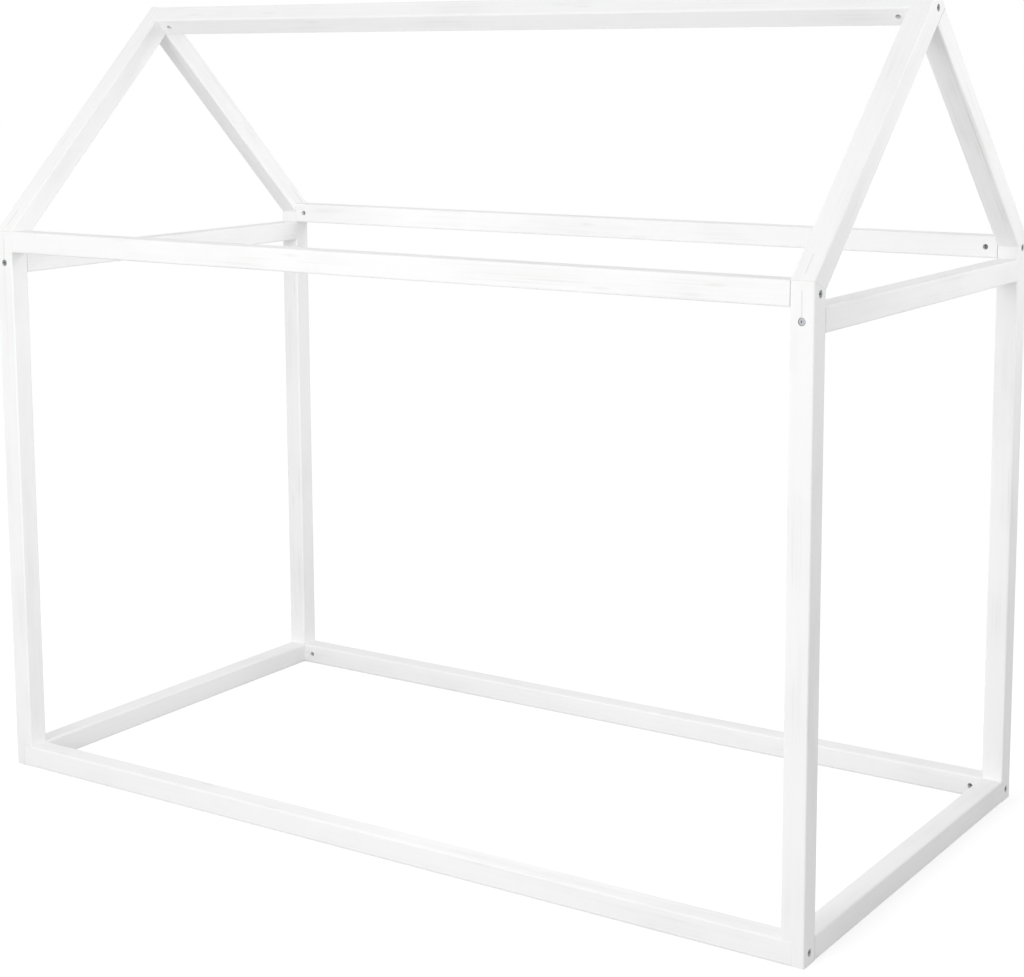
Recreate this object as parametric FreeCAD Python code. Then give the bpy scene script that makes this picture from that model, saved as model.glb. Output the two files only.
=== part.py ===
import FreeCAD, Part
import math
import os

# House frame bed: two gable frames of square timber, joined by four long rails and a ridge beam.
# Millimetres. X runs along the bed, Y from its front to its back and Z up.
# The origin is on the floor, at the middle of the bed.

# Clear space between the posts, where the mattress lies
inner_length = 1620.0
inner_width = 800.0
# Height of the posts' outer faces, and how far the roof's point stands above them
wall_height = 1050.0
roof_rise = 425.0

# All the timber is one square section with eased long edges
timber = 40.0
edge_radius = 3.0
# How far the bottom rails and the ridge beam are let into the gable frames
housing = 20.0

# Connector bolt with a flat head and a hexagon socket, sunk below the outer face
bolt_diameter = 6.0
head_diameter = 12.0
head_height = 3.0
head_recess = 4.0
rim_chamfer = 0.5
socket_width = 4.0
socket_depth = 2.0
bolt_past_nut = 2.0

# Barrel nut, dropped into a blind hole across the bolt
nut_diameter = 10.0
nut_length = 14.0
nut_setback = 22.0
nut_slot_width = 1.5
nut_slot_depth = 1.2

# Dowels
dowel_diameter = 8.0
dowel_length = 36.0
dowel_offset = 11.0

# Thin key let into a saw cut across each bend, to tie rafter to post
key_thickness = 3.0
key_to_bolt = 1.0

# Small round pieces and their holes are drawn with this many flat sides
shown_sides = 16
hidden_sides = 12

# Clearances, on the radius for round fits
head_clearance = 0.25
bolt_clearance = 0.3
thread_clearance = 0.05
nut_clearance = 0.1
dowel_clearance = 0.05
end_room = 1.0

V = FreeCAD.Vector
ALONG = V(1, 0, 0)
ACROSS = V(0, 1, 0)
UP = V(0, 0, 1)
LEFT, RIGHT = -1, 1
FRONT, BACK = -1, 1
END_NAMES = {LEFT: "left", RIGHT: "right"}
SIDE_NAMES = {FRONT: "front", BACK: "back"}

half_length = inner_length / 2 + timber
half_width = inner_width / 2 + timber
roof_angle = math.atan2(roof_rise, half_width)
slope_length = math.hypot(roof_rise, half_width)
# Middle lines of the gable frames and of the long sides
gable_middle = half_length - timber / 2
side_middle = half_width - timber / 2
# The short top rails lie just under the long ones
long_rail_height = wall_height - timber / 2
short_rail_height = long_rail_height - timber
bottom_rail_height = timber / 2
# The key stops short of the bolt head below it
key_reach = wall_height - short_rail_height - head_diameter / 2 - head_clearance - key_to_bolt


def up_slope(side):
    # Direction up the roof on one side
    return V(0, -side * math.cos(roof_angle), math.sin(roof_angle))


def off_slope(side):
    # Direction square out of the roof on one side
    return V(0, side * math.sin(roof_angle), math.cos(roof_angle))


def bend(end, side):
    # Outer corner where post and rafter meet, on the gable frame's middle line
    return V(end * gable_middle, side * half_width, wall_height)


def roof_point(x):
    return V(x, 0, wall_height + roof_rise)


def ridge_middle(x):
    # The ridge beam's upper front face lies in the plane of the front rafters' upper faces
    return roof_point(x) - (up_slope(FRONT) + off_slope(FRONT)) * (timber / 2)


def placed(shape, place, y_axis, z_axis):
    # Moves a shape made at the origin, with its own Y and Z turned to the given directions
    turn = FreeCAD.Rotation(y_axis.cross(z_axis), y_axis, z_axis, "ZYX")
    shape.Placement = FreeCAD.Placement(place, turn)
    return shape


def block(size, middle, y_axis, z_axis):
    shape = Part.makeBox(size.x, size.y, size.z, size * -0.5)
    return placed(shape, middle, y_axis, z_axis)


def stock(start, direction, face, length):
    # A length of timber from the middle of one end, with a face turned to the given side
    bar = Part.makeBox(timber, timber, length, V(-timber / 2, -timber / 2, 0))
    long_edges = [edge for edge in bar.Edges if abs(edge.tangentAt(edge.FirstParameter).z) > 0.5]
    bar = bar.makeFillet(edge_radius, long_edges)
    return placed(bar, start, face, direction)


def sawn_off(shape, point, normal):
    # Takes away what lies beyond the plane through the point
    size = 4 * timber
    waste = block(V(size, size, size), point + normal * (size / 2), ALONG, normal)
    return shape.cut(waste)


def rod(sides, radius, length):
    # Stands up from the origin, with a corner towards X
    turns = [FreeCAD.Rotation(UP, 360 * i / sides) for i in range(sides + 1)]
    corners = [turn.multVec(V(radius, 0, 0)) for turn in turns]
    return Part.Face(Part.makePolygon(corners)).extrude(UP * length)


def raised(shape, height):
    shape.translate(UP * height)
    return shape


# Timbers of the gable frames


def post(end, side):
    foot = V(end * gable_middle, side * side_middle, 0)
    shape = stock(foot, UP, ACROSS, wall_height + timber)
    shape = sawn_off(shape, bend(end, side), (UP + up_slope(side)).normalize())
    # The bottom rail's end is let into the inner half of the foot
    notch_middle = V(end * (inner_length / 2 + housing / 2), side * side_middle, 0)
    notch = block(V(housing, 2 * timber, 2 * timber), notch_middle, ACROSS, UP)
    return shape.cut(notch)


def rafter(end, side):
    corner = bend(end, side)
    start = corner - off_slope(side) * (timber / 2) - up_slope(side) * timber
    shape = stock(start, up_slope(side), off_slope(side), slope_length + 3 * timber)
    return sawn_off(shape, corner, (UP + up_slope(side)).normalize() * -1)


def front_rafter(end):
    # Runs through to the roof's point, and is sawn flush with the back slope
    point = roof_point(end * gable_middle)
    shape = sawn_off(rafter(end, FRONT), point, off_slope(BACK))
    # The ridge beam's end is let into the inner half
    notch_size = V(housing, 4 * timber, 4 * timber)
    notch_end = roof_point(end * (inner_length / 2 + housing / 2)) - up_slope(FRONT) * timber
    notch_middle = notch_end + up_slope(FRONT) * (notch_size.z / 2)
    notch = block(notch_size, notch_middle, off_slope(FRONT), up_slope(FRONT))
    return shape.cut(notch)


def back_rafter(end):
    # Butts against the front rafter's underside
    underside = roof_point(end * gable_middle) - off_slope(FRONT) * timber
    return sawn_off(rafter(end, BACK), underside, off_slope(FRONT))


def short_rail(end, height):
    start = V(end * gable_middle, -inner_width / 2, height)
    return stock(start, ACROSS, UP, inner_width)


# Timbers that join the two gable frames


def long_rail(side, height, let_in):
    start = V(-inner_length / 2 - let_in, side * side_middle, height)
    return stock(start, ALONG, UP, inner_length + 2 * let_in)


def ridge_beam():
    start = ridge_middle(-inner_length / 2 - housing)
    return stock(start, ALONG, off_slope(FRONT), inner_length + 2 * housing)


def corner_key(end, side):
    corner = bend(end, side) - ALONG * (key_thickness / 2)
    low = corner - UP * key_reach
    high = corner + up_slope(side) * key_reach
    face = Part.Face(Part.makePolygon([low, corner, high, low]))
    return face.extrude(ALONG * key_thickness)


# Fastenings. Each bolt lies along its joint's inward direction, and its nut's hole opens at the mouth.


def bolt(joint, inward, mouth):
    # The seat under the head is the height 0
    length = timber - head_recess + nut_setback + nut_diameter / 2 + bolt_past_nut
    head = raised(rod(shown_sides, head_diameter / 2, head_height), -head_height)
    rim = [edge for edge in head.Edges if edge.BoundBox.ZMax < -head_height / 2]
    head = head.makeChamfer(rim_chamfer, rim)
    socket = raised(rod(6, socket_width / math.sqrt(3), socket_depth), -head_height)
    shank = rod(hidden_sides, bolt_diameter / 2, length)
    seat = joint + inward * (head_recess - timber)
    return placed(head.cut(socket).fuse(shank), seat, mouth, inward)


def barrel_nut(joint, inward, mouth):
    half = nut_length / 2
    barrel = raised(rod(shown_sides, nut_diameter / 2, nut_length), -half)
    thread = rod(hidden_sides, bolt_diameter / 2 + thread_clearance, 2 * nut_diameter)
    thread = placed(thread, ACROSS * -nut_diameter, UP, ACROSS)
    slot_size = V(2 * nut_diameter, nut_slot_width, 2 * nut_slot_depth)
    slot = block(slot_size, UP * half, ACROSS, UP)
    return placed(barrel.cut([thread, slot]), joint + inward * nut_setback, inward, mouth)


def bolt_holes(joint, inward, mouth):
    # Sunk hole for the head, hole for the shank and blind cross hole for the nut
    outer = joint - inward * timber
    shank_length = timber + nut_setback + nut_diameter / 2 + bolt_past_nut + end_room
    nut_end = joint + inward * nut_setback - mouth * (nut_length / 2)
    sunk_hole = rod(shown_sides, head_diameter / 2 + head_clearance, 2 * head_recess)
    shank_hole = rod(hidden_sides, bolt_diameter / 2 + bolt_clearance, shank_length)
    cross_hole = rod(shown_sides, nut_diameter / 2 + nut_clearance, nut_length / 2 + timber)
    return [
        placed(sunk_hole, outer - inward * head_recess, mouth, inward),
        placed(shank_hole, outer, mouth, inward),
        placed(cross_hole, nut_end, inward, mouth),
    ]


def dowel(middle, direction):
    return pin(middle, direction, dowel_diameter / 2, dowel_length)


def dowel_hole(middle, direction):
    return pin(middle, direction, dowel_diameter / 2 + dowel_clearance, dowel_length + 2 * end_room)


def pin(middle, direction, radius, length):
    side = ALONG if abs(direction.x) < 0.5 else ACROSS
    return placed(rod(hidden_sides, radius, length), middle - direction * (length / 2), side, direction)


def bolted_joints():
    # For each group: middle of the face where two timbers meet, way into the bolted one, nut's mouth
    groups = {"long_top_rail": [], "long_bottom_rail": [], "short_top_rail": [], "ridge": []}
    for end in (LEFT, RIGHT):
        face = end * inner_length / 2
        for side in (FRONT, BACK):
            y = side * side_middle
            groups["long_top_rail"].append((V(face, y, long_rail_height), ALONG * -end, ACROSS * -side))
            groups["long_bottom_rail"].append((V(face, y, bottom_rail_height), ALONG * -end, ACROSS * -side))
            short_end = V(end * gable_middle, side * inner_width / 2, short_rail_height)
            groups["short_top_rail"].append((short_end, ACROSS * -side, UP * -1))
        groups["ridge"].append((ridge_middle(face), ALONG * -end, up_slope(FRONT) * -1))
    return groups


def dowelled_joints():
    # For each group: where a dowel crosses a joint, and its direction
    groups = {"long_top_rail": [], "short_top_rail": [], "short_bottom_rail": [], "roof_point": []}
    # What is left of a gable timber's thickness outside a housing
    outside = half_length - (timber - housing) / 2
    for end in (LEFT, RIGHT):
        face = end * inner_length / 2
        for side in (FRONT, BACK):
            y = side * inner_width / 2
            top = V(face, side * side_middle, long_rail_height - dowel_offset)
            groups["long_top_rail"].append((top, ALONG))
            inboard = V(end * (gable_middle - dowel_offset), y, short_rail_height)
            groups["short_top_rail"].append((inboard, ACROSS))
        for offset in (-dowel_offset, dowel_offset):
            for side in (FRONT, BACK):
                foot = V(end * outside, side * inner_width / 2, bottom_rail_height + offset)
                groups["short_bottom_rail"].append((foot, ACROSS))
            butt = ridge_middle(end * outside) - off_slope(FRONT) * (timber / 2)
            groups["roof_point"].append((butt + up_slope(FRONT) * offset, off_slope(FRONT)))
    return groups


def drilled(timbers, cutters):
    # Cuts every hole and slot in each timber that it reaches
    for name, shape in timbers.items():
        reached = [c for c in cutters if c.BoundBox.intersect(shape.BoundBox)]
        timbers[name] = shape.cut(reached)


timbers = {"ridge_beam": ridge_beam()}
keys = []
for side, side_name in SIDE_NAMES.items():
    timbers[f"{side_name}_top_rail"] = long_rail(side, long_rail_height, 0)
    timbers[f"{side_name}_bottom_rail"] = long_rail(side, bottom_rail_height, housing)
for end, end_name in END_NAMES.items():
    timbers[f"{end_name}_top_rail"] = short_rail(end, short_rail_height)
    timbers[f"{end_name}_bottom_rail"] = short_rail(end, bottom_rail_height)
    timbers[f"front_{end_name}_rafter"] = front_rafter(end)
    timbers[f"back_{end_name}_rafter"] = back_rafter(end)
    for side, side_name in SIDE_NAMES.items():
        timbers[f"{side_name}_{end_name}_post"] = post(end, side)
        keys.append(corner_key(end, side))

cutters = list(keys)
groups = {"corner_keys": keys}
for name, joints in bolted_joints().items():
    groups[f"{name}_bolts"] = [bolt(*joint) for joint in joints]
    groups[f"{name}_nuts"] = [barrel_nut(*joint) for joint in joints]
    for joint in joints:
        cutters += bolt_holes(*joint)
for name, joints in dowelled_joints().items():
    groups[f"{name}_dowels"] = [dowel(*joint) for joint in joints]
    cutters += [dowel_hole(*joint) for joint in joints]
drilled(timbers, cutters)

os.makedirs("parts", exist_ok=True)
for name, shape in timbers.items():
    shape.exportStep(f"parts/{name}.step")
for name, shapes in groups.items():
    Part.makeCompound(shapes).exportStep(f"parts/{name}.step")
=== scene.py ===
import math

import bpy
from mathutils import Matrix, Vector


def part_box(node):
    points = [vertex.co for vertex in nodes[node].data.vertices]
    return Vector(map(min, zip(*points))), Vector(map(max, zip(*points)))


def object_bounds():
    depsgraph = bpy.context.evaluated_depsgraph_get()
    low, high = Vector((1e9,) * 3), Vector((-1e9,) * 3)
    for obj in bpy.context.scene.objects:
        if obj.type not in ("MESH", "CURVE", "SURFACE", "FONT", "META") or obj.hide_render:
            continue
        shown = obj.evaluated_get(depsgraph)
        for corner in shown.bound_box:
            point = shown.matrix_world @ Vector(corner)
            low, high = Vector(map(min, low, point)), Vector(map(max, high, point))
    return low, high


# House frame bed. All sizes are in metres. X runs along the bed, Y from front to back and Z up.
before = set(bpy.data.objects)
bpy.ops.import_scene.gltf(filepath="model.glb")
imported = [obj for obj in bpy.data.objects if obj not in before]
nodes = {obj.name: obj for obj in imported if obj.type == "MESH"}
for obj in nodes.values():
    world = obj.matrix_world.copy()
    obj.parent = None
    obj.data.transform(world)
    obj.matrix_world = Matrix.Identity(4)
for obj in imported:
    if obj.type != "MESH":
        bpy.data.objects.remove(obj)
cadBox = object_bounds()
scene = bpy.context.scene
print("frame loaded,", len(nodes), "nodes")


def hexColour(code):
    # sRGB hex, such as "F3F3F3", to the linear colour that a socket takes
    channels = [int(code[i:i + 2], 16) / 255 for i in (0, 2, 4)]
    linear = [c / 12.92 if c <= 0.04045 else ((c + 0.055) / 1.055) ** 2.4 for c in channels]
    return linear + [1.0]


def newMaterial(name):
    material = bpy.data.materials.new(name)
    material.use_nodes = True
    material.node_tree.nodes.clear()
    return material, material.node_tree


def addNode(tree, kind, sockets=None, **settings):
    # Adds a shader node with its settings, and gives each named socket a value or a link
    node = tree.nodes.new("ShaderNode" + kind)
    for name, value in settings.items():
        setattr(node, name, value)
    for name, value in (sockets or {}).items():
        if isinstance(value, bpy.types.NodeSocket):
            tree.links.new(value, node.inputs[name])
        else:
            node.inputs[name].default_value = value
    return node


def dress(nodeName, material):
    # Gives a CAD node one material all over
    nodes[nodeName].data.materials.clear()
    nodes[nodeName].data.materials.append(material)


# Timber: planed pine under thin coats of matt white paint. The paint hides the wood's colour
# but not its rings, so the eye gets faint lines along each length and a slightly uneven white.
paintedPine = {
    "colour": "F3F3F3",
    "ringColour": "D4D4D2",
    "size": {  # width across the timber and length along it
        "ring": (0.0030, 0.30),
        "patch": (0.05, 0.16),
        "brush": (0.0011, 0.06),
        "knot": (0.020, 0.13),  # spacing of the places where a knot may be
    },
    "detail": {"ring": 2.0, "patch": 2.0, "brush": 1.0},
    "ringLevels": (0.50, 0.75),  # of the noise, from where a ring starts to where it is full
    "patchLevels": (0.45, 0.75),
    "wildLevels": (0.50, 0.68),  # of the patches, from plain wood to wild wood
    "ringStrength": (0.06, 0.30),  # in plain wood and in wild wood
    "patchStrength": 0.14,
    "ringDepth": 0.00008,
    "brushDepth": 0.00003,
    "knotReach": 0.22,  # of the knots' spacing
    "knotShare": 0.3,  # of the places where a knot may be
    "knotStrength": 0.28,
    "roughness": 0.62,
    # painted shade: the grey of the hairline gap along a seam
    "seamShadeColour": "E7E6E4",
    "seamShadeReach": (0.00035, 0.0007),  # full up to the first distance, gone at the second
}
# The bed's own sizes that the pattern follows, read from its solids
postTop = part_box("back_right_post")[1]
bend = Vector((0, postTop.y, postTop.z))
roofRise = cadBox[1][2] - bend.z
slopeLean = math.atan2(bend.y, roofRise)
# Each turns the pattern's own Z to the length of a timber
grainTurns = {
    "along": (0, math.pi / 2, 0),
    "across": (-math.pi / 2, 0, 0),
    "up": (0, 0, 0),
    "frontSlope": (-slopeLean, 0, 0),
    "backSlope": (slopeLean, 0, 0),
}
# Seams where one timber meets the next, each as a plane's direction and distance. A fine grey
# line is painted along each, as painted shade for the hairline gap between the timbers.
upSlope = Vector((0, -math.sin(slopeLean), math.cos(slopeLean)))
mitre = (Vector((0, 0, 1)) + upSlope).normalized()
mitreSeam = (mitre, mitre.dot(bend))
# The long bottom rails end where the ridge beam does
endSeam = (Vector((1, 0, 0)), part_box("ridge_beam")[1].x)
# The back rafters are sawn from wilder wood, so their rings show more
timberKinds = {
    "post": {"grain": "up", "seam": mitreSeam},
    "frontRafter": {"grain": "frontSlope", "seam": mitreSeam},
    "backRafter": {"grain": "backSlope", "seam": mitreSeam, "ringGain": 3.0},
    "longRail": {"grain": "along", "seam": endSeam},
    "shortRail": {"grain": "across"},
}


def seamMask(tree, place, seam, reach):
    # 1 at a seam and 0 past its reach, alike at both ends and both sides of the bed
    direction, distance = seam
    mirrored = addNode(tree, "VectorMath", {0: place}, operation="ABSOLUTE")
    towards = addNode(tree, "VectorMath", {
        0: mirrored.outputs[0], 1: direction,
    }, operation="DOT_PRODUCT")
    offSeam = addNode(tree, "Math", {
        0: towards.outputs["Value"], 1: distance,
    }, operation="SUBTRACT")
    gap = addNode(tree, "Math", {0: offSeam.outputs[0]}, operation="ABSOLUTE")
    return addNode(tree, "MapRange", {
        "Value": gap.outputs[0], "From Min": reach[0], "From Max": reach[1],
        "To Min": 1.0, "To Max": 0.0,
    }).outputs[0]


def makePaintedPine(kind):
    look = paintedPine
    timber = timberKinds[kind]
    material, tree = newMaterial("whitePaintedPine_" + kind)
    place = addNode(tree, "TexCoord").outputs["Object"]

    # Every pattern is drawn out along the timber, in its own size
    places = {}
    for pattern, (width, length) in look["size"].items():
        places[pattern] = addNode(tree, "Mapping", {
            "Vector": place, "Rotation": grainTurns[timber["grain"]],
            "Scale": (width, width, length),
        }, vector_type="TEXTURE").outputs[0]
    noise = {}
    for pattern, detail in look["detail"].items():
        noise[pattern] = addNode(tree, "TexNoise", {
            "Vector": places[pattern], "Scale": 1.0, "Detail": detail,
        }).outputs["Fac"]

    # Rings show more in wild wood, and a patch greys the whole width a little
    ringGain = timber.get("ringGain", 1.0)
    plain, wild = (strength * ringGain for strength in look["ringStrength"])
    ringStrength = addNode(tree, "MapRange", {
        "Value": noise["patch"],
        "From Min": look["wildLevels"][0], "From Max": look["wildLevels"][1],
        "To Min": plain, "To Max": wild,
    })
    ringShade = addNode(tree, "MapRange", {
        "Value": noise["ring"],
        "From Min": look["ringLevels"][0], "From Max": look["ringLevels"][1],
        "To Max": ringStrength.outputs[0],
    })
    patchShade = addNode(tree, "MapRange", {
        "Value": noise["patch"],
        "From Min": look["patchLevels"][0], "From Max": look["patchLevels"][1],
        "To Max": look["patchStrength"],
    })

    # Knots are long soft spots in a share of the cells
    cells = addNode(tree, "TexVoronoi", {"Vector": places["knot"], "Scale": 1.0})
    cellLot = addNode(tree, "SeparateColor", {0: cells.outputs["Color"]})
    knotted = addNode(tree, "Math", {
        0: cellLot.outputs[0], 1: look["knotShare"],
    }, operation="LESS_THAN")
    knotStrength = addNode(tree, "Math", {
        0: knotted.outputs[0], 1: look["knotStrength"],
    }, operation="MULTIPLY")
    knotShade = addNode(tree, "MapRange", {
        "Value": cells.outputs["Distance"], "From Max": look["knotReach"],
        "To Min": knotStrength.outputs[0], "To Max": 0.0,
    }, interpolation_type="SMOOTHSTEP")

    ringsAndPatches = addNode(tree, "Math", {
        0: ringShade.outputs[0], 1: patchShade.outputs[0],
    }, operation="ADD")
    shade = addNode(tree, "Math", {
        0: ringsAndPatches.outputs[0], 1: knotShade.outputs[0],
    }, operation="ADD", use_clamp=True)
    paint = addNode(tree, "Mix", {
        0: shade.outputs[0], 6: hexColour(look["colour"]), 7: hexColour(look["ringColour"]),
    }, data_type="RGBA")
    # A fine grey line of painted shade along the seam, for the gap between two timbers
    if "seam" in timber:
        paint = addNode(tree, "Mix", {
            0: seamMask(tree, place, timber["seam"], look["seamShadeReach"]),
            6: paint.outputs[2], 7: hexColour(look["seamShadeColour"]),
        }, data_type="RGBA")

    ringBump = addNode(tree, "Bump", {"Height": noise["ring"], "Distance": look["ringDepth"]})
    brushBump = addNode(tree, "Bump", {
        "Height": noise["brush"], "Distance": look["brushDepth"], "Normal": ringBump.outputs[0],
    })
    shader = addNode(tree, "BsdfPrincipled", {
        "Base Color": paint.outputs[2], "Roughness": look["roughness"],
        "Normal": brushBump.outputs[0],
    })
    addNode(tree, "OutputMaterial", {"Surface": shader.outputs[0]})
    return material


paints = {kind: makePaintedPine(kind) for kind in timberKinds}
shortRails = ("left_top_rail", "right_top_rail", "left_bottom_rail", "right_bottom_rail")
for nodeName in nodes:
    if nodeName.endswith("_post"):
        dress(nodeName, paints["post"])
    elif nodeName.endswith("_rafter"):
        dress(nodeName, paints["frontRafter" if nodeName.startswith("front") else "backRafter"])
    elif nodeName in shortRails:
        dress(nodeName, paints["shortRail"])
    elif nodeName.endswith("_rail") or nodeName == "ridge_beam":
        dress(nodeName, paints["longRail"])
print("timbers painted")


# Keys: birch plywood under the same paint. Its cut edge is painted a little greyer than the
# timber round it. This is partly the paint that its end grain drinks and partly painted shade for
# the hairline gaps along its sides, so it reads as a fine line, which filler hides round the
# bend.
keyPlywoodAndGapShade = {
    # greyer than the timber: partly paint drunk by the end grain, partly painted shade of the
    # gaps beside the key
    "colour": "EDEDED",
    "plyColour": "E2E2E0",
    "plySpacing": 0.0063,  # drawn coarser than real plies of 1 mm, which are too fine to show
    "plyWaver": 0.4,
    "plyDepth": 0.00006,
    "roughness": 0.65,
    "filledColour": "F1F1F0",
    "filledReach": (0.011, 0.015),  # on either side of the mitre
}


def makeKeyPlywoodAndGapShade():
    look = keyPlywoodAndGapShade
    material, tree = newMaterial("paintedPlywoodEdgeAndGapShade")
    place = addNode(tree, "TexCoord").outputs["Object"]
    waveRate = 20  # radians in each unit of a Wave texture at scale 1
    # The plies lie across the key's thickness, which is the object's X
    plies = addNode(tree, "TexWave", {
        "Vector": place, "Scale": 2 * math.pi / (waveRate * look["plySpacing"]),
        "Distortion": look["plyWaver"],
    }, bands_direction="X")
    bare = addNode(tree, "Mix", {
        0: plies.outputs["Fac"], 6: hexColour(look["colour"]), 7: hexColour(look["plyColour"]),
    }, data_type="RGBA")
    paint = addNode(tree, "Mix", {
        0: seamMask(tree, place, mitreSeam, look["filledReach"]),
        6: bare.outputs[2], 7: hexColour(look["filledColour"]),
    }, data_type="RGBA")
    bump = addNode(tree, "Bump", {"Height": plies.outputs["Fac"], "Distance": look["plyDepth"]})
    shader = addNode(tree, "BsdfPrincipled", {
        "Base Color": paint.outputs[2], "Roughness": look["roughness"], "Normal": bump.outputs[0],
    })
    addNode(tree, "OutputMaterial", {"Surface": shader.outputs[0]})
    return material


dress("corner_keys", makeKeyPlywoodAndGapShade())
print("keys painted")


# Bolts and barrel nuts: turned steel with a thin bright zinc plating, which gives a cool grey
# that is neither mirror nor matt, with a fine cloudiness.
zincSteel = {
    "colour": "A9ACB0",
    "dullColour": "808387",
    "cloudSize": 0.004,
    "cloudDetail": 3.0,
    "roughness": (0.28, 0.5),  # where the plating is bright and where it is dull
    "turnedSize": 0.0004,
    "turnedDepth": 0.00001,
}


def makeZincSteel():
    look = zincSteel
    material, tree = newMaterial("zincPlatedSteel")
    place = addNode(tree, "TexCoord").outputs["Object"]
    clouds = addNode(tree, "TexNoise", {
        "Vector": place, "Scale": 1 / look["cloudSize"], "Detail": look["cloudDetail"],
    })
    tint = addNode(tree, "Mix", {
        0: clouds.outputs["Fac"], 6: hexColour(look["colour"]), 7: hexColour(look["dullColour"]),
    }, data_type="RGBA")
    gloss = addNode(tree, "MapRange", {
        "Value": clouds.outputs["Fac"],
        "To Min": look["roughness"][0], "To Max": look["roughness"][1],
    })
    fine = addNode(tree, "TexNoise", {"Vector": place, "Scale": 1 / look["turnedSize"]})
    bump = addNode(tree, "Bump", {"Height": fine.outputs["Fac"], "Distance": look["turnedDepth"]})
    shader = addNode(tree, "BsdfPrincipled", {
        "Base Color": tint.outputs[2], "Metallic": 1.0, "Roughness": gloss.outputs[0],
        "Normal": bump.outputs[0],
    })
    addNode(tree, "OutputMaterial", {"Surface": shader.outputs[0]})
    return material


# Dowels: bare turned beech, a warm pale brown with short dark flecks.
beechDowel = {
    "colour": "D9B48C",
    "fleckColour": "A9794E",
    "fleckSize": (0.0004, 0.0004, 0.003),
    "fleckDetail": 2.0,
    "fleckLevels": (0.55, 0.8),  # of the noise, from where a fleck starts to where it is full
    "roughness": 0.6,
}


def makeBeech():
    look = beechDowel
    material, tree = newMaterial("bareBeech")
    place = addNode(tree, "TexCoord").outputs["Object"]
    stretched = addNode(tree, "Mapping", {
        "Vector": place, "Scale": look["fleckSize"],
    }, vector_type="TEXTURE")
    flecks = addNode(tree, "TexNoise", {
        "Vector": stretched.outputs[0], "Scale": 1.0, "Detail": look["fleckDetail"],
    })
    fleckShade = addNode(tree, "MapRange", {
        "Value": flecks.outputs["Fac"],
        "From Min": look["fleckLevels"][0], "From Max": look["fleckLevels"][1],
    })
    wood = addNode(tree, "Mix", {
        0: fleckShade.outputs[0], 6: hexColour(look["colour"]), 7: hexColour(look["fleckColour"]),
    }, data_type="RGBA")
    shader = addNode(tree, "BsdfPrincipled", {
        "Base Color": wood.outputs[2], "Roughness": look["roughness"],
    })
    addNode(tree, "OutputMaterial", {"Surface": shader.outputs[0]})
    return material


steel = makeZincSteel()
beech = makeBeech()
for nodeName in nodes:
    if nodeName.endswith(("_bolts", "_nuts")):
        dress(nodeName, steel)
    elif nodeName.endswith("_dowels"):
        dress(nodeName, beech)
print("fastenings finished")


# Floor: a plain pale grey sheet that sends about half of the light back up. The camera and the
# steel see it lifted to white, with the bed's shadow kept.
floor = {
    "size": 60.0,
    "colour": "C6C6C6",
    "glow": 0.55,
}


def seesBackdrop(tree):
    # 1 for the rays that should meet a white background, 0 for the light that falls on the bed
    path = addNode(tree, "LightPath")
    shiny = addNode(tree, "Math", {
        0: path.outputs["Is Glossy Ray"], 1: path.outputs["Is Transmission Ray"],
    }, operation="MAXIMUM")
    return addNode(tree, "Math", {
        0: path.outputs["Is Camera Ray"], 1: shiny.outputs[0],
    }, operation="MAXIMUM").outputs[0]


def makeFloor():
    bpy.ops.mesh.primitive_plane_add(size=floor["size"])
    sheet = bpy.context.object
    sheet.name = "floor"
    material, tree = newMaterial("paleFloorSheet")
    paper = addNode(tree, "BsdfDiffuse", {"Color": hexColour(floor["colour"])})
    glow = addNode(tree, "Emission", {"Strength": floor["glow"]})
    lifted = addNode(tree, "AddShader", {0: paper.outputs[0], 1: glow.outputs[0]})
    seen = addNode(tree, "MixShader", {
        0: seesBackdrop(tree), 1: paper.outputs[0], 2: lifted.outputs[0],
    })
    addNode(tree, "OutputMaterial", {"Surface": seen.outputs[0]})
    sheet.data.materials.append(material)


makeFloor()


# Light: a broad soft lamp before the bed, a narrow one on the roof's right end and two weak ones
# inside the frame, in a pale room that is brighter round the walls than overhead. The weak ones
# stand for the light that a white room throws back on the timbers' inner faces.
lamps = {
    "frontLamp": {
        "kind": "AREA", "power": 35.5, "size": 1.6,
        "place": (0.0, -3.5, 1.5), "aim": (0.0, 0.0, 0.8),
    },
    "roofLamp": {
        "kind": "SPOT", "power": 160, "size": 0.4,
        "place": (4.2, 0.6, 1.7), "aim": (0.85, 0.25, 1.4),
        "cone": 34, "edgeBlend": 1.0,  # degrees across, and how softly the cone ends
    },
    "innerLamp": {
        "kind": "POINT", "power": 2.7, "size": 0.25,
        "place": (0.2, -0.15, 0.6),
    },
    "leftGableLamp": {
        "kind": "POINT", "power": 0.75, "size": 0.25,
        "place": (-0.45, 0.12, 1.05),
    },
}
roomLight = {
    "wall": 1.12,
    "ceiling": 0.70,
    "wallTop": 0.25,  # how steeply up a ray points where the wall's light starts to fade
    "ceilingEdge": 0.65,
    "leftGain": 1.08,
    "rightGain": 0.95,
    "backdrop": 1.0,  # what the camera and the steel see, where 1 is white
}


def makeLamp(name):
    look = lamps[name]
    lamp = bpy.data.lights.new(name, look["kind"])
    lamp.energy = look["power"]
    if look["kind"] == "AREA":
        lamp.shape = "SQUARE"
        lamp.size = look["size"]
    else:
        lamp.shadow_soft_size = look["size"]
    if look["kind"] == "SPOT":
        lamp.spot_size = math.radians(look["cone"])
        lamp.spot_blend = look["edgeBlend"]
    holder = bpy.data.objects.new(name, lamp)
    holder.visible_camera = False
    holder.location = look["place"]
    if "aim" in look:
        aim = Vector(look["aim"]) - Vector(look["place"])
        holder.rotation_euler = aim.to_track_quat("-Z", "Y").to_euler()
    scene.collection.objects.link(holder)


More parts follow.
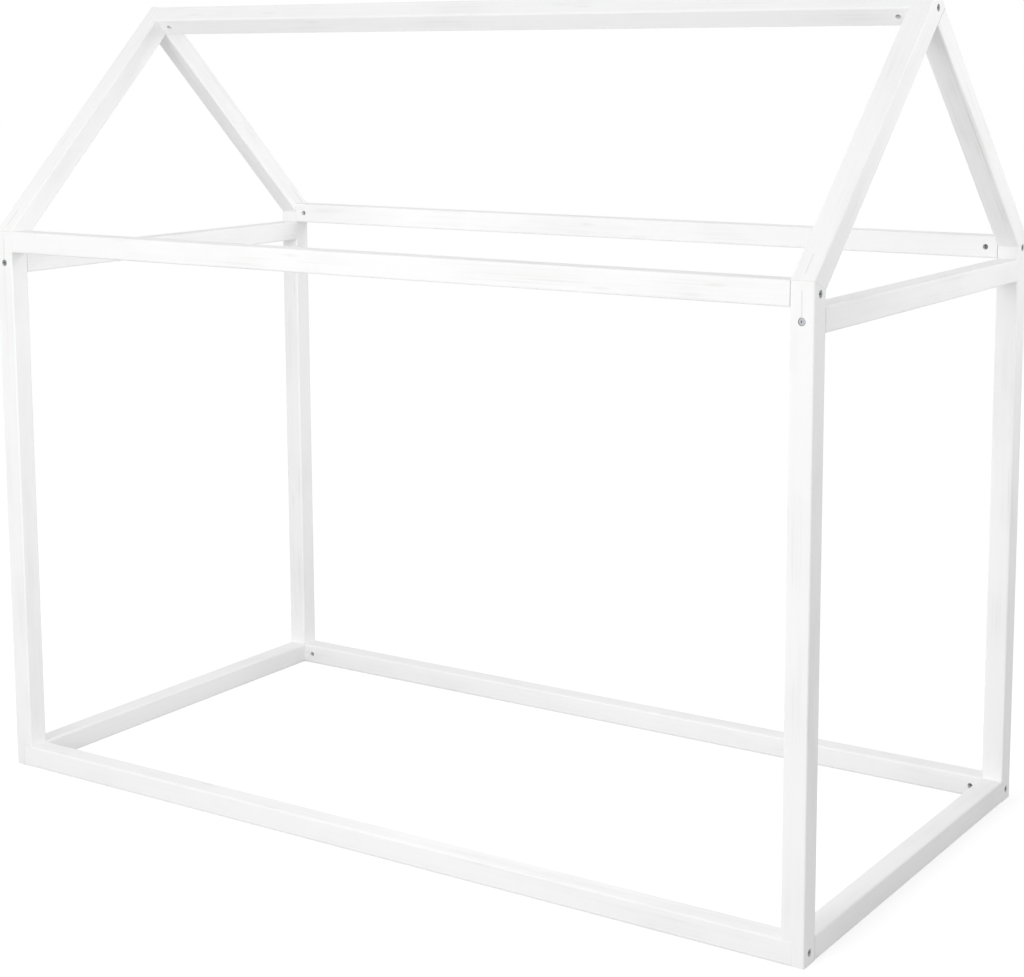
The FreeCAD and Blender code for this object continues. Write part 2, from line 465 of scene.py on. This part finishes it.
def makeRoom():
    look = roomLight
    room = bpy.data.worlds.new("paleRoom")
    room.use_nodes = True
    tree = room.node_tree
    tree.nodes.clear()
    # A ray's direction, from -1 to 1 on each axis
    ray = addNode(tree, "SeparateXYZ", {0: addNode(tree, "TexCoord").outputs["Generated"]})
    upward = addNode(tree, "MapRange", {
        "Value": ray.outputs["Z"], "From Min": look["wallTop"], "From Max": look["ceilingEdge"],
        "To Min": look["wall"], "To Max": look["ceiling"],
    })
    sideways = addNode(tree, "MapRange", {
        "Value": ray.outputs["X"], "From Min": -1.0, "From Max": 1.0,
        "To Min": look["leftGain"], "To Max": look["rightGain"],
    })
    light = addNode(tree, "Math", {
        0: upward.outputs[0], 1: sideways.outputs[0],
    }, operation="MULTIPLY")
    strength = addNode(tree, "MapRange", {
        "Value": seesBackdrop(tree), "To Min": light.outputs[0], "To Max": look["backdrop"],
    })
    glow = addNode(tree, "Background", {
        "Color": (1, 1, 1, 1), "Strength": strength.outputs[0],
    })
    addNode(tree, "OutputWorld", {"Surface": glow.outputs[0]})
    scene.world = room


for lampName in lamps:
    makeLamp(lampName)
makeRoom()
print("floor and light placed")


# Camera: fitted to the bed's edges in the photograph, tipped down so that a small shift will do
camera = {
    "place": (2.1210, -3.1393, 1.3778),
    "yaw": 33.65,  # degrees to the left of +Y
    "pitch": 8.35,  # degrees down
    "roll": -0.28,
    "pixelLens": 2056.9,  # focal length in the picture's pixels
    "pictureWidth": 1024,
    "sensorWidth": 36.0,
    "shift": -0.13,
}


def makeCamera():
    yaw, pitch, roll = (math.radians(camera[name]) for name in ("yaw", "pitch", "roll"))
    ahead = Vector((-math.sin(yaw), math.cos(yaw), 0))
    forward = ahead * math.cos(pitch) - Vector((0, 0, 1)) * math.sin(pitch)
    level = Vector((math.cos(yaw), math.sin(yaw), 0))
    upright = level.cross(forward)
    right = level * math.cos(roll) + upright * math.sin(roll)
    up = upright * math.cos(roll) - level * math.sin(roll)
    data = bpy.data.cameras.new("photoCamera")
    data.sensor_width = camera["sensorWidth"]
    data.lens = camera["pixelLens"] * data.sensor_width / camera["pictureWidth"]
    data.shift_y = camera["shift"]
    eye = bpy.data.objects.new("photoCamera", data)
    turn = Matrix((right, up, -forward)).transposed().to_4x4()
    eye.matrix_world = Matrix.Translation(camera["place"]) @ turn
    scene.collection.objects.link(eye)
    scene.camera = eye


makeCamera()
scene.view_settings.view_transform = "Standard"
print("camera placed")
